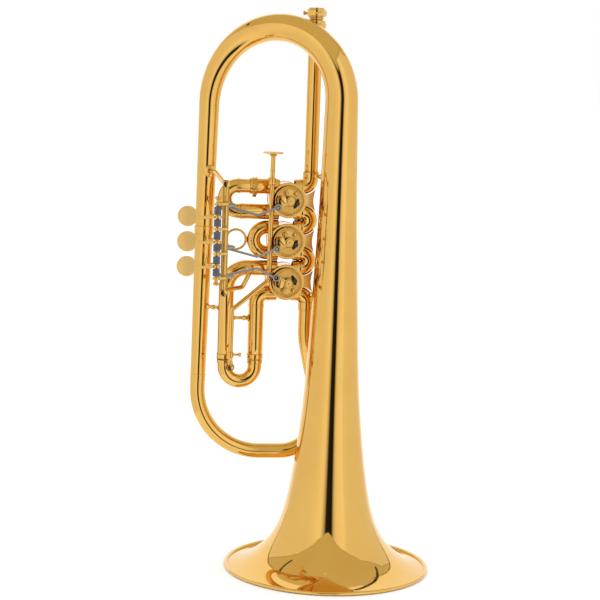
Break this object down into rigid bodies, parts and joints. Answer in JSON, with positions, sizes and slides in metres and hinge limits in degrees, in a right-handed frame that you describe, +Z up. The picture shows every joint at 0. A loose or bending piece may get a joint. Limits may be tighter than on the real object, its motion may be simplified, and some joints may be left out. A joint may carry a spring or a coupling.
{
  "type": "flugelhorn",
  "caption": "Rotary-valve flugelhorn standing on its bell, with finger levers, ball-ended rods, tuning slides and a push-rod slide trigger.",
  "frame": {"origin": "centre of the bell mouth, in the plane that the rim rests on", "axes": "+Z up the bell axis; -Y towards the valve caps and finger touches; -X towards the levers"},
  "size_m": [0.2004, 0.155, 0.4206],
  "materials": {
    "lacquered_brass": "mirror polished, clear gold lacquer",
    "satin_brass": "fine satin",
    "link_steel": "brushed",
    "spring_steel": "blued",
    "stop_rubber": "matt"
  },
  "bodies": {
    "body": {"bell": "lacquered_brass", "bell_rim_bead": "lacquered_brass", "top_bow": "lacquered_brass", "left_branch_upper": "lacquered_brass", "left_branch_lower": "lacquered_brass", "bottom_bow": "lacquered_brass", "output_tube": "lacquered_brass", "outlet_elbow": "lacquered_brass", "inlet_elbow": "lacquered_brass", "leadpipe": "lacquered_brass", "branch_ferrules": "lacquered_brass", "receiver_clamp": "lacquered_brass", "front_caps": "lacquered_brass", "back_caps": "lacquered_brass", "rubber_stops": "stop_rubber", "stop_plate_screws": "lacquered_brass", "crook_tube_1": "lacquered_brass", "crook_tube_2": "lacquered_brass", "valve_webs": "satin_brass", "slide_1_sleeves": "lacquered_brass", "slide_3_upper_branch": "lacquered_brass", "slide_3_lower_branch": "lacquered_brass", "trigger_guide": "lacquered_brass", "lever_rail": "lacquered_brass", "rail_screws": "lacquered_brass", "lever_posts": "lacquered_brass", "lever_axle": "lacquered_brass", "lever_springs": "spring_steel", "bell_braces": "lacquered_brass", "slide_braces": "lacquered_brass", "rail_bracket": "lacquered_brass", "rail_support_arm": "lacquered_brass", "valve_casing_1": "lacquered_brass", "valve_casing_2": "lacquered_brass", "valve_casing_3": "lacquered_brass"},
    "receiver": {"mouthpiece_receiver": "lacquered_brass", "receiver_collar": "lacquered_brass"},
    "clamp_screw": {"receiver_clamp_screw": "lacquered_brass"},
    "slide_1": {"slide_1_bow": "lacquered_brass"},
    "slide_2": {"slide_2_bow": "lacquered_brass", "slide_2_pull_ring": "lacquered_brass"},
    "slide_3": {"slide_3_bow": "lacquered_brass", "trigger_rod": "lacquered_brass", "trigger_saddle": "lacquered_brass", "trigger_button": "satin_brass"},
    "lever_1": {"finger_lever_1": "satin_brass"},
    "valve_rotor_1": {"rotor_1": "satin_brass", "stop_arm_1": "lacquered_brass"},
    "ball_1": {"rod_ball_1": "link_steel"},
    "rod_1": {"connecting_rod_1": "link_steel"},
    "lever_2": {"finger_lever_2": "satin_brass"},
    "valve_rotor_2": {"rotor_2": "satin_brass", "stop_arm_2": "lacquered_brass"},
    "ball_2": {"rod_ball_2": "link_steel"},
    "rod_2": {"connecting_rod_2": "link_steel"},
    "lever_3": {"finger_lever_3": "satin_brass"},
    "valve_rotor_3": {"rotor_3": "satin_brass", "stop_arm_3": "lacquered_brass"},
    "ball_3": {"rod_ball_3": "link_steel"},
    "rod_3": {"connecting_rod_3": "link_steel"}
  },
  "joints": [
    {"name": "lever_press_1", "type": "hinge", "parent": "body", "child": "lever_1", "pos_m": [-0.093, -0.025, 0.25], "axis": [0, 0, -1], "range_deg": [0, 40.3], "stiffness_Nm_per_rad": 0.05, "springref_deg": -34.38},
    {"name": "rotor_turn_1", "type": "hinge", "parent": "body", "child": "valve_rotor_1", "pos_m": [-0.0347, 0.026, 0.2774], "axis": [0, -1, 0], "range_deg": [0, 90.01]},
    {"name": "rod_ball_turn_1", "type": "hinge", "parent": "valve_rotor_1", "child": "ball_1", "pos_m": [-0.04467, 0.003, 0.27275], "axis": [0, 1, 0], "range_deg": [0, 97.59]},
    {"name": "rod_swing_1", "type": "hinge", "parent": "ball_1", "child": "rod_1", "pos_m": [-0.04467, 0.003, 0.27275], "axis": [0, 0, 1], "range_deg": [0, 15.04]},
    {"name": "lever_press_2", "type": "hinge", "parent": "body", "child": "lever_2", "pos_m": [-0.093, -0.025, 0.25], "axis": [0, 0, -1], "range_deg": [0, 40.16], "stiffness_Nm_per_rad": 0.05, "springref_deg": -34.38},
    {"name": "rotor_turn_2", "type": "hinge", "parent": "body", "child": "valve_rotor_2", "pos_m": [-0.0347, 0.026, 0.2466], "axis": [0, -1, 0], "range_deg": [0, 90.01]},
    {"name": "rod_ball_turn_2", "type": "hinge", "parent": "valve_rotor_2", "child": "ball_2", "pos_m": [-0.04467, 0.003, 0.24195], "axis": [0, 1, 0], "range_deg": [0, 97.59]},
    {"name": "rod_swing_2", "type": "hinge", "parent": "ball_2", "child": "rod_2", "pos_m": [-0.04467, 0.003, 0.24195], "axis": [0, 0, 1], "range_deg": [0, 14.96]},
    {"name": "lever_press_3", "type": "hinge", "parent": "body", "child": "lever_3", "pos_m": [-0.093, -0.025, 0.25], "axis": [0, 0, -1], "range_deg": [0, 39.09], "stiffness_Nm_per_rad": 0.05, "springref_deg": -34.38},
    {"name": "rotor_turn_3", "type": "hinge", "parent": "body", "child": "valve_rotor_3", "pos_m": [-0.0347, 0.026, 0.2158], "axis": [0, 1, 0], "range_deg": [0, 90.01]},
    {"name": "rod_ball_turn_3", "type": "hinge", "parent": "valve_rotor_3", "child": "ball_3", "pos_m": [-0.04467, 0.003, 0.22045], "axis": [0, -1, 0], "range_deg": [0, 97.55]},
    {"name": "rod_swing_3", "type": "hinge", "parent": "ball_3", "child": "rod_3", "pos_m": [-0.04467, 0.003, 0.22045], "axis": [0, 0, 1], "range_deg": [0, 14.36]},
    {"name": "slide_1_pull", "type": "slide", "parent": "body", "child": "slide_1", "axis": [-1, 0, 0], "range_m": [0, 0.012]},
    {"name": "slide_2_pull", "type": "slide", "parent": "body", "child": "slide_2", "axis": [-1, 0, 0], "range_m": [0, 0.0035]},
    {"name": "trigger_press", "type": "slide", "parent": "body", "child": "slide_3", "axis": [0, 0, -1], "range_m": [0, 0.014], "stiffness_N_per_m": 120, "springref_m": -0.012},
    {"name": "receiver_slide", "type": "slide", "parent": "body", "child": "receiver", "axis": [0, 0, 1], "range_m": [0, 0.008]},
    {"name": "clamp_screw_turn", "type": "hinge", "parent": "body", "child": "clamp_screw", "pos_m": [-0.0166, 0.0349, 0.40805], "axis": [1, 0, 0], "range_deg": [0, 360]}
  ],
  "couplings": [
    {"joint": "rotor_turn_1", "follows": "lever_press_1", "ratio": 2.2331},
    {"joint": "rod_ball_turn_1", "follows": "lever_press_1", "ratio": 2.4213},
    {"joint": "rod_swing_1", "follows": "lever_press_1", "ratio": 0.37302},
    {"joint": "rotor_turn_2", "follows": "lever_press_2", "ratio": 2.2409},
    {"joint": "rod_ball_turn_2", "follows": "lever_press_2", "ratio": 2.4296},
    {"joint": "rod_swing_2", "follows": "lever_press_2", "ratio": 0.37234},
    {"joint": "rotor_turn_3", "follows": "lever_press_3", "ratio": 2.3022},
    {"joint": "rod_ball_turn_3", "follows": "lever_press_3", "ratio": 2.495},
    {"joint": "rod_swing_3", "follows": "lever_press_3", "ratio": 0.36707}
  ]
}
